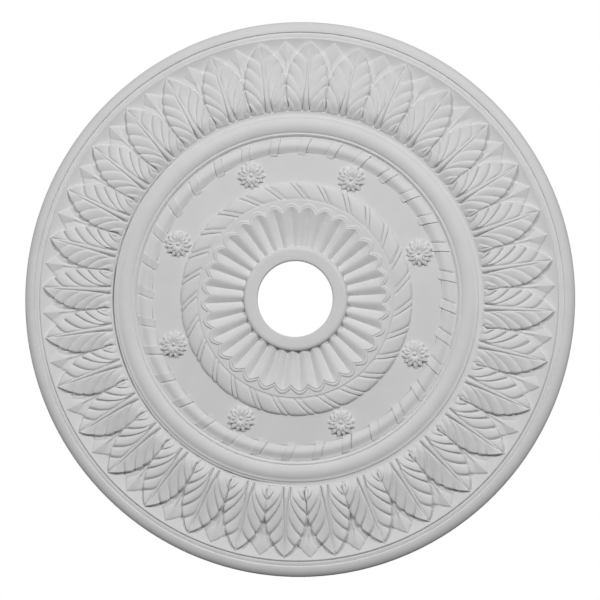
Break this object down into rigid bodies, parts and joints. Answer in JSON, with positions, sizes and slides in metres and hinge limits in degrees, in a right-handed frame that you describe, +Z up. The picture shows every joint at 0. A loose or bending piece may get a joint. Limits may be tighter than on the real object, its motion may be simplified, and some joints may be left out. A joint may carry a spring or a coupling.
{
  "type": "ceiling rose",
  "caption": "Round moulded ceiling rose with leaf, rope-twist and fluted rings, small rosettes and a central cable hole, fixed flat to a ceiling.",
  "frame": {"origin": "centre of the cable hole in the plane of the flat back, which is the plane of the ceiling", "axes": "+Z up, out of the flat back into the ceiling; the ornament faces -Z, into the room; +X is the picture's right as the rose is seen from below"},
  "size_m": [0.6794, 0.6794, 0.0286],
  "materials": {
    "primed_white": "factory-primed white, matt, on foamed polyurethane"
  },
  "bodies": {
    "root": {"ceiling_rose": "primed_white"}
  },
  "joints": []
}
